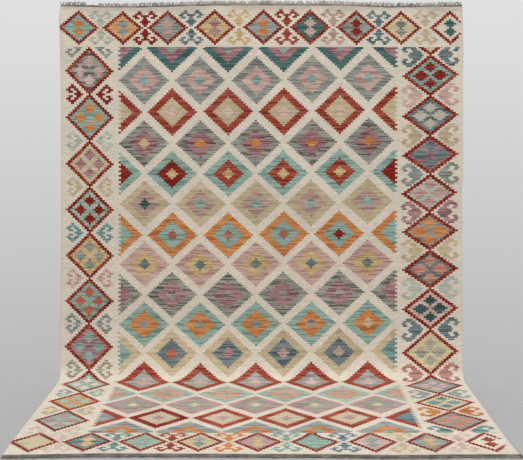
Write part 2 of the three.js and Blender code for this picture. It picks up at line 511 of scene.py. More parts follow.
def drift(across, down):
    """How far a lozenge stands from its even place: rows climb and bow, some columns lean."""
    climb = np.interp(down, CLIMB_FADES, (ROW_CLIMB, 0)) * (across - FIELD_MIDDLE)
    bow = ROW_BOW * (across - ROW_LOW_PLACE) ** 2
    middle, spread, lean = COLUMN_DRIFT
    sideways = lean * math.exp(-((across - middle) / spread) ** 2) * np.interp(down, *DRIFT_GROWS)
    return sideways, -climb - bow


def tilt_at(across, down):
    """How steeply the wefts climb to the right at a place."""
    return np.interp(down, CLIMB_FADES, (ROW_CLIMB, 0)) + 2 * ROW_BOW * (across - ROW_LOW_PLACE)


def field_figures(chance):
    """The lozenges of the rows of five, and those of the rows with halves."""
    five, halved = [], []
    places = [row[0] / 1000 for row in FIELD_ROWS]
    for number, (_, row_sizes, outer, inner, heart) in enumerate(FIELD_ROWS):
        down = places[number]
        gaps = np.diff(places)[max(0, number - 1):number + 1]
        half_height = HEIGHT_SHARE * gaps.mean()
        row, offsets = (five, range(-2, 3)) if number % 2 else (halved, np.arange(-2.5, 3))
        yarns = zip(*(each(choice, len(offsets)) for choice in (outer, inner, heart)))
        for offset, chosen in zip(offsets, yarns):
            across = FIELD_MIDDLE + FIELD_PITCH * offset
            cut, sizes = UNCUT, row_sizes
            if offset == -2.5:
                across, cut = LEFT_HALF, LEFT_CUT
            elif offset == 2.5:
                across, cut = RIGHT_HALF, RIGHT_CUT
            else:
                across += chance.uniform(-1, 1) * HAND_WANDER
            sideways, lower = drift(across, down)
            if cut == UNCUT:
                across += sideways
            else:
                sizes = sizes[:2] + (-1,)  # a half lozenge has no heart
            row.append(Figure(
                across=across, down=down + lower + chance.uniform(-1, 1) * HAND_WANDER,
                step=(STAIR_WIDTH, half_height / (sizes[0] + 0.5)),
                reach=(FIELD_PITCH / 2, gaps.mean()), sizes=sizes, cut=cut,
                tilt=tilt_at(across, down), yarns=chosen))
    return five, halved


chance = np.random.default_rng(PATTERN_SEED)
field_of_five, field_halved = field_figures(chance)
print(len(field_of_five), "lozenges in rows of five and", len(field_halved), "in the rows between")

# %% [markdown]
# ## The borders
# Diamonds with a dark red outline stand tip to tip down both sides, and side by side along both
# ends. A hooked figure fills each gap between two diamonds. The right border is a little wider than
# the left one and holds two diamonds more, the first of them partly under the end border: the weaver
# kept no count, only the look.

# %% Border diamonds, in millimetres: centre, ground, dots
LEFT_DIAMONDS = [
    (316, "grey green", "pale pink"), (547, "aqua", "orange"), (779, "pale khaki", "mauve"),
    (1007, "pale aqua", "dark red"), (1237, "straw", "sage"), (1465, "aqua", "coral"),
    (1685, "mauve", "aqua"), (1920, "pale aqua", "cream"), (2142, "amber", "pale aqua"),
    (2366, "pale aqua", "lilac"),
]
RIGHT_DIAMONDS = [
    (137, "pale straw", "pale straw"), (337, "aqua", "dark red"), (539, "slate", "stone"),
    (733, "mauve", "slate"), (924, "pale sage", "old rose"), (1116, "sage", "orange"),
    (1302, "slate", "salmon"), (1496, "pale pink", "deep teal"), (1711, "pale straw", "lichen"),
    (1940, "grey blue", "pale pink"), (2158, "pale straw", "dull teal"), (2372, "sage", "salmon"),
]
TOP_DIAMONDS = [
    (-906, "aqua", "orange"), (-687, "amber", "grey blue"), (-465, "sage", "dusty"),
    (-231, "straw", "mauve"), (10, "grey blue", "orange"), (242, "dark teal", "dusty"),
    (471, "sage", "dark red"), (693, "pale straw", "sage"), (937, "cream", "dark teal"),
]
BOTTOM_DIAMONDS = [
    (-910, "celery", "celery"), (-697, "dull teal", "peach"), (-474, "pale aqua", "pale aqua"),
    (-248, "pale straw", "grey blue"), (-14, "lilac", "straw"), (216, "aqua", "aqua"),
    (449, "pale pink", "grey blue"), (681, "grey blue", "straw"), (922, "cream", "brick"),
]
LEFT_HOOKS = ["sage", "dark red", "pale sage", "khaki", "dull teal", "old rose", "sage", "ash",
              "aqua", "khaki", "pale rose"]
RIGHT_HOOKS = ["slate", "slate", "old rose", "khaki", "sage", "mauve", "khaki", "pale sage", "slate",
               "faded red", "grey blue", "orange", "dull teal"]
TOP_HOOKS = ["pale sage", "dark red", "slate", "straw", "brick", "dusty", "slate", "khaki"]
BOTTOM_HOOKS = ["pale rose", "teal", "brick", "orange", "aqua", "steel", "khaki", "pale pink"]
print(len(LEFT_DIAMONDS), "diamonds on the left and", len(RIGHT_DIAMONDS), "on the right")

# %% [markdown]
# ## Hooks as small charts
# A hooked figure is mirrored both ways about its centre, so its chart holds one quarter. Each line is
# a row of the weave, read outwards from the centre, and each mark is about half a stair wide.

# %% Hook charts
UPRIGHT_HOOK = [  # rows away from the middle of the border, columns away from the mirror line
    "",
    "##",
    "###",
    "#####",
    "###",
    "##...####",
    "####...####",
    "...######",
    "....###",
]
NARROW_HOOK = [  # rows away from its axis, columns away from the centre of the left border
    "......########",
    "........####...####",
    "..........####...####",
    "............#######",
    "..............###",
]
WIDE_HOOK = [  # the same for the right border, which is wider
    ".....##########",
    "......########",
    ".......#####...###",
    ".........####...###",
    "..........########",
    "............####",
]


def row_number(line):
    """A chart's row as one number, in which each mark is a binary digit."""
    return float(sum(2 ** place for place, mark in enumerate(line) if mark == "#"))


print("upright hook rows:", [row_number(line) for line in UPRIGHT_HOOK])

# %% [markdown]
# ## The sizes of the borders
# Each border has a centre line and a width of its own, and stairs of its own size. A hook's columns
# are narrower than a diamond's, because its arms are only a few warps wide.

# %% Sizes of the borders
@dataclass
class SideBorder:
    centre: float
    half_width: float
    row: float  # the height of one stair, about
    dots: tuple  # columns and rows from a diamond's centre to its dots
    dot_steps: float  # the size of a dot
    hook_step: tuple  # the width and height of one mark of the hook's chart
    hook_kind: int


SIDE_BORDERS = {
    "left": SideBorder(-0.857, 0.120, 0.0115, (4, 4), 2, (0.0057, 0.0111), NARROW),
    "right": SideBorder(0.839, 0.140, 0.0103, (3.5, 4), 2.5, (0.0078, 0.0103), WIDE),
}
END_BORDERS = {  # centre, half height, half width of a diamond
    "top": (0.102, 0.085, 0.101),
    "bottom": (2.586, 0.095, 0.101),
}
OUTLINE_STEPS = 2
HOOK_REACH = 0.11
END_STEPS = 8  # from the centre of an end border's diamond to its tip
END_DOT_STEPS = 2
END_DOT_ROW = 2
END_HOOK_COLUMN = 0.0059
OPEN_SIDE = 3  # the last column of the end borders' rightmost diamond
print("half widths of the side borders:", [side.half_width for side in SIDE_BORDERS.values()])

# %% [markdown]
# ## Placing the border figures
# Two diamonds meet halfway between their centres, and a hook stands at each such meeting. The tips of
# two side diamonds share one row, so the number of stairs follows from the distance between two
# meetings, and they are woven a little taller or lower to fill it. The first and the last figures of
# a side border run on under the end borders, where they are cut off.

# %% Placing diamonds and hooks
def meetings(centres):
    """Where neighbours meet, with the outer ends of the first and last."""
    middle = [(a + b) / 2 for a, b in zip(centres, centres[1:])]
    return [2 * centres[0] - middle[0]] + middle + [2 * centres[-1] - middle[-1]]


def side_border(name, diamonds, hooks):
    """The diamonds of a side, whose tips share one row where they meet, and the hooks between."""
    side = SIDE_BORDERS[name]
    ends = meetings([diamond[0] / 1000 for diamond in diamonds])
    figures = []
    for number, (_, ground, dot) in enumerate(diamonds):
        half_height = (ends[number + 1] - ends[number]) / 2
        steps = round(half_height / side.row)
        figures.append(Figure(
            across=side.centre, down=(ends[number] + ends[number + 1]) / 2,
            step=(side.half_width / (steps + 0.5), half_height / steps),
            reach=(side.half_width, half_height), sizes=(steps, steps - OUTLINE_STEPS, side.dot_steps),
            dots=side.dots, yarns=("madder", ground, dot), kind=FLECKED,
            tilt=tilt_at(side.centre, ends[number])))
    between = [Figure(across=side.centre, down=end, step=side.hook_step,
                      reach=(side.half_width, HOOK_REACH), yarns=(yarn, yarn, yarn),
                      kind=side.hook_kind, tilt=tilt_at(side.centre, end))
               for end, yarn in zip(ends, hooks)]
    return figures, between


def end_border(name, diamonds, hooks):
    """The diamonds of an end, side by side, and the hooks between."""
    centre, half_height, half_width = END_BORDERS[name]
    row = half_height / (END_STEPS + 0.5)
    places = [diamond[0] / 1000 for diamond in diamonds]
    figures = []
    for number, (across, (_, ground, dot)) in enumerate(zip(places, diamonds)):
        last = number == len(diamonds) - 1
        figures.append(Figure(
            across=across, down=centre, step=(half_width / (END_STEPS + 0.5), row),
            reach=(half_width, half_height),
            sizes=(END_STEPS, END_STEPS - OUTLINE_STEPS, END_DOT_STEPS), dots=(NO_DOT, END_DOT_ROW),
            cut=(-99, OPEN_SIDE) if last else UNCUT, yarns=("madder", ground, dot), kind=FLECKED))
    middles = meetings(places)[1:-1]
    between = [Figure(across=middle, down=centre, step=(END_HOOK_COLUMN, row),
                      reach=(HOOK_REACH, HOOK_REACH), yarns=(yarn, yarn, yarn), kind=UPRIGHT)
               for middle, yarn in zip(middles, hooks)]
    return figures, between


right_meetings = meetings([diamond[0] / 1000 for diamond in RIGHT_DIAMONDS])
print("the first right diamonds meet at", np.round(right_meetings[1:4], 3))

# %% [markdown]
# ## Where each figure is woven
# A weaver works the field and the four borders as separate bands. Each band is a rectangle of the
# flat rug, and figures of one band are cut off where the next begins.

# %% Regions, each as (from, to) across, (from, to) down and two sets of figures
FIELD_LEFT = -0.728
FIELD_RIGHT = 0.687
FAR = 9  # past every edge of the rug
BETWEEN_ENDS = (FIELD_TOP, FIELD_BOTTOM)
REGIONS = [
    ((FIELD_LEFT, FIELD_RIGHT), BETWEEN_ENDS, field_of_five, field_halved),
    ((-FAR, FIELD_LEFT), BETWEEN_ENDS, *side_border("left", LEFT_DIAMONDS, LEFT_HOOKS)),
    ((FIELD_RIGHT, FAR), BETWEEN_ENDS, *side_border("right", RIGHT_DIAMONDS, RIGHT_HOOKS)),
    ((-FAR, FAR), (-FAR, FIELD_TOP), *end_border("top", TOP_DIAMONDS, TOP_HOOKS)),
    ((-FAR, FAR), (FIELD_BOTTOM, FAR), *end_border("bottom", BOTTOM_DIAMONDS, BOTTOM_HOOKS)),
]
print("figures:", sum(len(first) + len(second) for _, _, first, second in REGIONS))

# %% [markdown]
# ## The cloth as a mesh
# A fine, even grid takes any fold, so the sheet is made in mesh code. Its outline in section is one
# closed ring: the face, the right selvedge, the underside and the left selvedge. Rings like that,
# one above the other, make the whole cloth. Grid lines also run along the edges of the field and
# where side diamonds meet, so no mesh face lies across those lines. The bend gets a finer grid.

# %% Grid lines
GRID_STEP = 0.0125
BEND_STEP = 0.006
BEND_REACH = (-0.03, 0.12)  # the part of the length that is gridded finely, along from the floor line
SELVEDGE = 0.006
SELVEDGE_RISE = 0.0006


def fill_lines(stops, step):
    """Grid lines through all stops, with even steps between them."""
    lines = []
    for start, end in zip(stops, stops[1:]):
        count = max(1, math.ceil((end - start) / step - 0.01))
        lines.extend(np.linspace(start, end, count, endpoint=False))
    return np.array(lines + [stops[-1]])


def merged(places, nearest=0.002):
    """Sorted places without near doubles."""
    kept = []
    for place in sorted(places):
        if not kept or place - kept[-1] > nearest:
            kept.append(place)
    return kept


side_meetings = [end for name, diamonds in (("left", LEFT_DIAMONDS), ("right", RIGHT_DIAMONDS))
                 for end in meetings([d[0] / 1000 for d in diamonds]) if FIELD_TOP < end < FIELD_BOTTOM]
bend_from = HANGING_LENGTH - BEND_REACH[1]
bend_to = HANGING_LENGTH - BEND_REACH[0]
stops = merged([0, FIELD_TOP, FIELD_BOTTOM, CLOTH_LENGTH, bend_from, bend_to] + side_meetings)
down_lines = fill_lines([s for s in stops if s <= bend_from], GRID_STEP)
down_lines = np.append(down_lines[:-1], fill_lines(
    [s for s in stops if bend_from <= s <= bend_to], BEND_STEP))
down_lines = np.append(down_lines[:-1], fill_lines([s for s in stops if s >= bend_to], GRID_STEP))
across_lines = fill_lines(
    [-1, -1 + SELVEDGE, FIELD_LEFT, FIELD_RIGHT, 1 - SELVEDGE, 1], GRID_STEP)
print(len(across_lines), "lines across and", len(down_lines), "down")

# %% [markdown]
# ## Soft unevenness
# Real cloth is never quite flat. A few long, low ripples lie over the hanging part, the selvedges are
# a hair thicker, and the lying part keeps to the floor.

# %% Unevenness and thickness
RIPPLES = [  # height, waves per metre across and along, phase
    (0.0011, 2.3, 0.9, 0.3), (0.0007, 4.1, -1.7, 1.9), (0.0005, 1.2, 5.3, 4.0), (0.0004, 7.7, 2.6, 2.2),
]
RIPPLES_START = 0.10  # up from the floor line
RIPPLES_GROW = 0.5  # the length over which they reach their full height


def unevenness(across, along):
    """How far the ripples lift the cloth."""
    hanging = np.clip((along - RIPPLES_START) / RIPPLES_GROW, 0, 1)
    ripple = sum(h * np.sin(2 * np.pi * (u * across + v * along) + p) for h, u, v, p in RIPPLES)
    return hanging * ripple


def thickness_at(across):
    """The cloth is a little thicker at its selvedges."""
    edge = np.clip(1 - (1 - np.abs(across)) / (2 * SELVEDGE), 0, 1)
    return CLOTH_THICKNESS + SELVEDGE_RISE * np.sin(np.pi * edge)


print("thickness at a selvedge:", round(1000 * float(thickness_at(1 - SELVEDGE)), 2), "mm")

# %% [markdown]
# ## The skin of the cloth
# A ring of points runs across the front, round the right selvedge, back along the underside and
# round the left one. It is repeated at every grid line down the rug, each time with the wander of
# the sides and ends, and the fold carries it to its place.

# %% Rings of the cloth
def side_share(across, down):
    """The real place across of a nominal one, once the sides have wandered."""
    left = wander(SIDE_WANDER, down, 0)
    right = wander(SIDE_WANDER, down, 1)
    return across * (1 + np.where(across < 0, left, right))


def end_shift(across, down):
    """How far an end's wander moves a place along the cloth."""
    top = wander(END_WANDER, across + 1, 0) * np.clip(1 - down / END_FADE, 0, 1)
    bottom = wander(END_WANDER, across + 1, 1) * np.clip(1 - (CLOTH_LENGTH - down) / END_FADE, 0, 1)
    return top - bottom


def rug_point(across, down, out):
    """A point in space of the nominal place (across, down) on the rug."""
    along = HANGING_LENGTH - down + end_shift(across, down)
    ripple = unevenness(across, along)
    return place_on_rug(side_share(across, down), along, out + ripple)


EDGE_BULGE = 0.0011
front = across_lines
ring_across = np.concatenate([front, [1.0], front[::-1], [-1.0]])
ring_out = np.concatenate([thickness_at(front), [CLOTH_THICKNESS / 2], 0 * front, [CLOTH_THICKNESS / 2]])
ring_bulge = np.concatenate([0 * front, [EDGE_BULGE], 0 * front, [-EDGE_BULGE]])
ring_size = len(ring_across)
ring_grid, down_grid = np.meshgrid(ring_across, down_lines)
out_grid = np.broadcast_to(ring_out, ring_grid.shape)
points = rug_point(ring_grid, down_grid, out_grid)
points[..., 0] += ring_bulge
print("ring of", ring_size, "points; cloth box from", np.round(points.min(axis=(0, 1)), 4),
      "to", np.round(points.max(axis=(0, 1)), 4))

# %% [markdown]
# ## Closing the skin
# Neighbouring rings are joined with four-sided faces. The two ends get a narrow row of faces of
# their own, so that the sheet is watertight.

# %% Faces of the cloth
columns = len(across_lines)
rows = len(down_lines)
j, i = np.meshgrid(np.arange(rows - 1), np.arange(ring_size), indexing="ij")
after = (i + 1) % ring_size
walls = np.stack([j * ring_size + i, (j + 1) * ring_size + i,
                  (j + 1) * ring_size + after, j * ring_size + after], axis=-1).reshape(-1, 4)
k = np.arange(columns - 1)
under = 2 * columns - k  # the underside's point below the face's point k
top_end = np.stack([k, k + 1, under - 1, under], axis=-1)
last_ring = (rows - 1) * ring_size
top_corners = np.array([[columns - 1, columns, columns + 1], [2 * columns, 2 * columns + 1, 0]])
faces = walls.tolist() + top_end.tolist() + (last_ring + top_end[:, ::-1]).tolist()
faces += top_corners.tolist() + (last_ring + top_corners[:, ::-1]).tolist()

cloth_mesh = bpy.data.meshes.new("kilim_cloth")
cloth_mesh.from_pydata(points.reshape(-1, 3).tolist(), [], faces)
cloth = bpy.data.objects.new("kilim_cloth", cloth_mesh)
scene.collection.objects.link(cloth)
print("the cloth has", len(faces), "faces and is valid:", not cloth_mesh.validate())

# %% [markdown]
# ## Telling every face its figures
# The mesh carries the weaver's plan. At each face corner it stores where that corner lies in its two
# nearest figures, counted in steps from their centres, with the sizes and yarns of both. The shader
# then only has to round those numbers to draw crisp stairs at any zoom.

# %% Face corners in the plan
corner_vertex = np.empty(len(cloth_mesh.loops), np.int32)
cloth_mesh.loops.foreach_get("vertex_index", corner_vertex)
corners_of_face = np.empty(len(cloth_mesh.polygons), np.int32)
cloth_mesh.polygons.foreach_get("loop_total", corners_of_face)
corner_face = np.repeat(np.arange(len(corners_of_face)), corners_of_face)
corner_across = ring_grid.ravel()[corner_vertex]
corner_down = down_grid.ravel()[corner_vertex]
face_across = np.bincount(corner_face, corner_across) / corners_of_face
face_down = np.bincount(corner_face, corner_down) / corners_of_face


def nearest_figure(figures, across, down):
    """The number of the figure that each place is nearest to, in that figure's own size."""
    best = np.full(len(across), np.inf)
    chosen = np.zeros(len(across), int)
    for number, figure in enumerate(figures):
        gap = np.abs(across - figure.across) / figure.reach[0]
        gap = gap + np.abs(down - figure.down) / figure.reach[1]
        closer = gap < best
        best[closer] = gap[closer]
        chosen[closer] = number
    return chosen


all_figures = []
face_figures = np.zeros((2, len(face_across)), int)
for (left, right), (upper, lower), *sets in REGIONS:
    inside = (face_across > left) & (face_across <= right)
    inside &= (face_down > upper) & (face_down <= lower)
    for number, figures in enumerate(sets):
        found = nearest_figure(figures, face_across[inside], face_down[inside])
        face_figures[number, inside] = found + len(all_figures)
        all_figures.extend(figures)
print(len(all_figures), "figures are laid out")

# %% [markdown]
# ## Figures pulled out of shape
# The weft is beaten down by hand, and now and then that pulls a figure up, down or aside. A pull is a
# soft bump in the plan: it moves what is near its middle and leaves the rest.

# %% Pulls of the beat
PULLS = [  # across, down, spread across, spread down, shift across, shift down
    (0.208, 2.505, 0.045, 0.035, -0.005, -0.013), (0.248, 2.530, 0.030, 0.028, 0.0, 0.019),
    (-0.584, 1.800, 0.110, 0.050, 0.0, -0.009), (-0.660, 2.590, 0.060, 0.050, 0.0, -0.006),
]


def pulled_places(across, down):
    """The plan's places once the uneven beat of the weft has pulled a few figures out of shape."""
    moved = np.stack([across, down], axis=1)
    for x, y, wide, high, right, lower in PULLS:
        share = np.exp(-((across - x) / wide) ** 2 - ((down - y) / high) ** 2)
        moved -= share[:, None] * np.array([right, lower])
    return moved


pulled = pulled_places(corner_across, corner_down)
print(len(PULLS), "pulls, of up to", round(1000 * float(np.abs(pulled[:, 1] - corner_down).max())), "mm")

# %% [markdown]
# ## A weaver's plan, written on the mesh
# Every face corner stores how many stairs it lies from the centre of its figure, with the figure's
# sizes and yarns. The material counts the stairs, so their edges stay sharp.

# %% Writing the plan on the mesh
SHADE_VARIATION = 0.05  # how much one figure's batch of yarn differs from the next
SEED_STEP = 1.37  # from one figure's streaks to the next one's


def write(name, values):
    """Stores three or four numbers at each face corner."""
    kind, field = {3: ("FLOAT_VECTOR", "vector"), 4: ("FLOAT_COLOR", "color")}[values.shape[1]]
    made = cloth_mesh.attributes.new(name, kind, "CORNER")
    made.data.foreach_set(field, values.astype(np.float32).ravel())


def yarn_row(name, shade):
    """A yarn's colour, a little paler or darker, and its streakiness."""
    colour, streaks = YARNS[name]
    return [channel * shade for channel in linear(colour)] + [streaks]


shades = [1 + SHADE_VARIATION * chance.uniform(-1, 1, 3) for _ in all_figures]
centres = np.array([(f.across, f.down) for f in all_figures])
steps = np.array([f.step for f in all_figures])
tilts = np.array([f.tilt for f in all_figures])
for number, letter in enumerate("ab"):
    figure = face_figures[number][corner_face]
    place = pulled - centres[figure]
    place[:, 1] += tilts[figure] * place[:, 0]
    place /= steps[figure]
    write("place_" + letter, np.column_stack([place, figure * SEED_STEP]))
    write("sizes_" + letter, np.array([f.sizes for f in all_figures])[figure])
    write("dots_" + letter, np.array([f.dots + f.cut for f in all_figures])[figure])
    for ring, ring_name in enumerate(("outer", "inner", "heart")):
        table = np.array([yarn_row(f.yarns[ring], shade[ring])
                          for f, shade in zip(all_figures, shades)])
        write(ring_name + "_" + letter, table[figure])
kinds = np.array([f.kind for f in all_figures])
write("kinds", np.column_stack([kinds[face_figures[0]], kinds[face_figures[1]],
                                0 * face_figures[0]])[corner_face])
print("attributes:", [a.name for a in cloth_mesh.attributes if a.domain == "CORNER"][:6], "...")

# %% [markdown]
# ## Two maps of the cloth
# One UV map holds the flat cloth in metres, so the weave keeps its real scale however the cloth
# folds. The other lays the whole skin of the sheet, face and underside side by side, in the unit
# square with nothing overlapping, for a game engine or a painter who wants one picture of it.

# %% UV maps
weave_map = cloth_mesh.uv_layers.new(name="weave")
weave_map.uv.foreach_set("vector", np.column_stack(
    [corner_across, -corner_down]).astype(np.float32).ravel())

MAP_MARGIN = 0.004
EDGE_STEP = 0.003  # from the skin's front or back to the middle of its edge, on the map
ring_step = np.hypot(np.diff(ring_across, append=ring_across[0]),
                     np.diff(ring_out, append=ring_out[0]))
ring_step[columns - 1:columns + 1] = EDGE_STEP
ring_step[2 * columns:] = EDGE_STEP
ring_reach = np.concatenate([[0], np.cumsum(ring_step)])
girth = ring_reach[-1] + 2 * MAP_MARGIN
height = CLOTH_LENGTH + 6 * MAP_MARGIN

corner_ring = corner_vertex % ring_size
wraps = np.zeros(len(corners_of_face), bool)  # faces that close the ring
wraps[:len(walls)] = (np.arange(len(walls)) % ring_size) == ring_size - 1
reach = ring_reach[corner_ring]
reach = np.where(wraps[corner_face] & (corner_ring == 0), ring_reach[-1], reach)
map_u = (reach + MAP_MARGIN) / girth
map_v = 1 - (corner_down + 3 * MAP_MARGIN) / height
is_end = corner_face >= len(walls)  # the end strips go above and below the skin
depth = np.where(corner_ring < columns, 0, MAP_MARGIN)
depth = np.where((corner_ring == columns) | (corner_ring == 2 * columns + 1), MAP_MARGIN / 2, depth)
end_place = 1 - np.where(corner_down < 1, 2 * MAP_MARGIN - depth,
                         height - 2 * MAP_MARGIN + depth) / height
map_u = np.where(is_end, (corner_across + 1 + 2 * MAP_MARGIN) / girth, map_u)
map_v = np.where(is_end, end_place, map_v)
bulge = is_end & ((corner_ring == columns) | (corner_ring == 2 * columns + 1))
map_u = np.where(bulge, map_u + np.sign(corner_across) * MAP_MARGIN / 2 / girth, map_u)
skin_map = cloth_mesh.uv_layers.new(name="OFBake")
skin_map.uv.foreach_set("vector", np.column_stack([map_u, map_v]).astype(np.float32).ravel())
cloth_mesh.uv_layers.active = weave_map
print("skin map spans", np.round([map_u.min(), map_u.max(), map_v.min(), map_v.max()], 4))

# %% [markdown]
# ## Soft shading
# The cloth has no hard creases except along its two ends. Smooth shading by angle keeps those crisp
# and lets the bend and the flutes read as one soft surface.

# %% Smooth shading, with crisp ends
def smooth(piece, angle=50):
    """Smooth shading, except over edges sharper than an angle in degrees."""
    bpy.ops.object.select_all(action="DESELECT")
    piece.select_set(True)
    bpy.context.view_layer.objects.active = piece
    bpy.ops.object.shade_smooth_by_angle(angle=math.radians(angle))
    piece.select_set(False)


smooth(cloth)
print("cloth size:", tuple(round(d, 4) for d in cloth.dimensions))

# %% [markdown]
# ## The stepped lozenge as a node group
# Rounding a place to whole steps gives the stair that it lies on. The sum of both distances is the
# number of the lozenge ring, and comparing it with the sizes gives one mask for each colour. The
# dots are the same test about other centres, found by folding the figure along its middle lines.

# %% Stepped lozenge
SLIT_SHARE = 0.07  # how much of a stair the slit beside it takes

lozenge_group, given_in, given_out = new_group(
    "stepped_lozenge",
    [("Place", "Vector"), ("Sizes", "Vector"), ("Dots", "Vector"), ("Last Column", "Float")],
    [("Outer", "Float"), ("Inner", "Float"), ("Heart", "Float"), ("Slit", "Float")])
t = lozenge_group
u, v, _ = parts_of(t, given_in.outputs["Place"])
outer_size, inner_size, heart_size = parts_of(t, given_in.outputs["Sizes"])
dot_across, dot_down, first_column = parts_of(t, given_in.outputs["Dots"])
column = math_node(t, "ROUND", u)
row = math_node(t, "ROUND", v)
columns_away = math_node(t, "ABSOLUTE", column)
rows_away = math_node(t, "ABSOLUTE", row)
ring_number = math_node(t, "ADD", columns_away, rows_away)


def within(tree, number, size):
    """1 where a whole number is no more than a size."""
    return math_node(tree, "LESS_THAN", number, math_node(tree, "ADD", size, 0.5))


comb = math_node(t, "MODULO", rows_away, 2.0)
after_first = within(t, math_node(t, "SUBTRACT", first_column, comb), column)
before_last = within(t, column, math_node(t, "ADD", given_in.outputs["Last Column"], comb))
kept = math_node(t, "MULTIPLY", after_first, before_last)
beside = math_node(t, "ADD", rows_away, math_node(
    t, "ABSOLUTE", math_node(t, "SUBTRACT", columns_away, dot_across)))
above = math_node(t, "ADD", columns_away, math_node(
    t, "ABSOLUTE", math_node(t, "SUBTRACT", rows_away, dot_down)))
heart = within(t, math_node(t, "MINIMUM", beside, above), heart_size)
for label, mask in (("Outer", within(t, ring_number, outer_size)),
                    ("Inner", within(t, ring_number, inner_size)), ("Heart", heart)):
    t.links.new(math_node(t, "MULTIPLY", mask, kept), given_out.inputs[label])
side = math_node(t, "MULTIPLY", math_node(t, "SUBTRACT", u, column), math_node(t, "SIGN", u))
at_side = math_node(t, "GREATER_THAN", side, 0.5 - SLIT_SHARE)
at_outer = math_node(t, "COMPARE", ring_number, outer_size, 0.5)
at_inner = math_node(t, "COMPARE", ring_number, inner_size, 0.5)
slit = math_node(t, "MULTIPLY", at_side, math_node(t, "MAXIMUM", at_outer, at_inner))
t.links.new(math_node(t, "MULTIPLY", slit, kept), given_out.inputs["Slit"])
print("lozenge group:", len(t.nodes), "nodes")

# %% [markdown]
# ## A chart as a node group
# Each row of a hook's chart is one number whose binary digits are its marks. The shader picks the
# row's number and asks whether the digit of its column is 1. It measures how far a place is from
# the centre, so one quarter of the figure serves for all four.

# %% Hook charts as groups
def chart_group(name, chart):
    """A mask of a mirrored chart. A place's first part counts columns and its second counts rows."""
    tree, entry, leave = new_group(name, [("Place", "Vector")], [("Mask", "Float")])
    across, down, _ = parts_of(tree, entry.outputs["Place"])
    digit = math_node(tree, "ROUND", math_node(tree, "ABSOLUTE", across))
    line = math_node(tree, "ROUND", math_node(tree, "ABSOLUTE", down))
    number = 0.5  # half a mark, so that rounding errors can't lose the last digit
    for place, marks in enumerate(chart):
        if marks:
            here = math_node(tree, "COMPARE", line, float(place), 0.5)
            number = math_node(tree, "MULTIPLY_ADD", here, row_number(marks), number)
    shifted = math_node(tree, "DIVIDE", number, math_node(tree, "POWER", 2.0, digit))
    mark = math_node(tree, "MODULO", math_node(tree, "FLOOR", shifted), 2.0)
    near = math_node(tree, "LESS_THAN", digit, max(len(marks) for marks in chart) + 0.5)
    tree.links.new(math_node(tree, "MULTIPLY", mark, near), leave.inputs["Mask"])
    return tree


hook_groups = {  # by the figures' kinds
    UPRIGHT: chart_group("upright_hook", UPRIGHT_HOOK),
    NARROW: chart_group("narrow_hook", NARROW_HOOK),
    WIDE: chart_group("wide_hook", WIDE_HOOK),
}
print("chart groups:", [group.name for group in hook_groups.values()])

# %% [markdown]
# ## Wool as a node group
# Hand-spun wool is never one flat colour. Long thin streaks of a lighter and a darker dye run with
# the wefts, each pick differs a little from the next, and the whole rug has soft cloudy changes.
# The group takes a place in metres on the flat cloth and a seed, which moves the pattern for each
# figure's yarn, so that a streak never crosses from one figure to another.

# %% Streaky wool
STREAK_LENGTH = 0.15
STREAK_HEIGHT = 0.0078
STREAK_BENDS = (9.0, 14.0)  # waves per metre across and down
STREAK_BEND_DEPTH = 0.010
DARK_FROM_TO = (0.53, 0.60)  # the noise at which a dark streak begins and is full
LIGHT_FROM_TO = (0.48, 0.36)
DEEPER_DYE = 1.75  # the power that turns a yarn's colour into its darker streaks
PALER_DYE = (1.28, 1.26, 1.24, 1)  # what its lighter streaks are multiplied by
PALE_WOOL = linear("#b9b5a8") + (1.0,)
PALE_SHARE = 0.15  # of undyed wool in the lighter streaks
PICK = 0.0014
PICK_SIZE = (45.0, PICK * 1.6)  # waves per metre across, and the metres down of one wave
PICK_SWING = 0.12
TONES = [  # clouds, mottle and speckle: waves per metre across and down, and how far the tone swings
    (2.6, 5.0, 0.04), (22.0, 70.0, 0.05), (150.0, 190.0, 0.09),
]
SEED_SPREAD = 3.17


def cloth_noise(tree, x, y, across, down, layer=0.0):
    """Noise on the flat cloth, with so many waves per metre across and down."""
    wide = math_node(tree, "MULTIPLY", x, across)
    high = math_node(tree, "MULTIPLY", y, down)
    return noise(tree, vector_of(tree, wide, high, layer))


wool_group, entry, leave = new_group(
    "streaky_wool",
    [("Colour", "Color"), ("Streaks", "Float"), ("Seed", "Float"), ("Weave", "Vector")],
    [("Colour", "Color"), ("Lightness", "Float")])
t = wool_group
x, y, _ = parts_of(t, entry.outputs["Weave"])
seed = math_node(t, "MULTIPLY", entry.outputs["Seed"], SEED_SPREAD)
bent = math_node(t, "MULTIPLY_ADD", cloth_noise(t, x, y, *STREAK_BENDS), STREAK_BEND_DEPTH, y)
long_place = vector_of(t, math_node(t, "DIVIDE", x, STREAK_LENGTH),
                       math_node(t, "DIVIDE", bent, STREAK_HEIGHT), seed)
streak = noise(t, long_place, detail=1.5, roughness=0.55)
strength = entry.outputs["Streaks"]
dark = math_node(t, "MULTIPLY", ramp(t, streak, *DARK_FROM_TO), strength)
light = math_node(t, "MULTIPLY", ramp(t, streak, *LIGHT_FROM_TO), strength)
deepened = t.nodes.new("ShaderNodeGamma")
t.links.new(entry.outputs["Colour"], deepened.inputs["Color"])
deepened.inputs["Gamma"].default_value = DEEPER_DYE
lighter = mix_colour(t, 1.0, entry.outputs["Colour"], PALER_DYE, "MULTIPLY")
lighter = mix_colour(t, PALE_SHARE, lighter, PALE_WOOL)
dyed = mix_colour(t, dark, entry.outputs["Colour"], deepened.outputs[0])
dyed = mix_colour(t, light, dyed, lighter)
pick_place = vector_of(t, math_node(t, "MULTIPLY", x, PICK_SIZE[0]),
                       math_node(t, "DIVIDE", y, PICK_SIZE[1]), seed)
picks = noise(t, pick_place, detail=1.0)
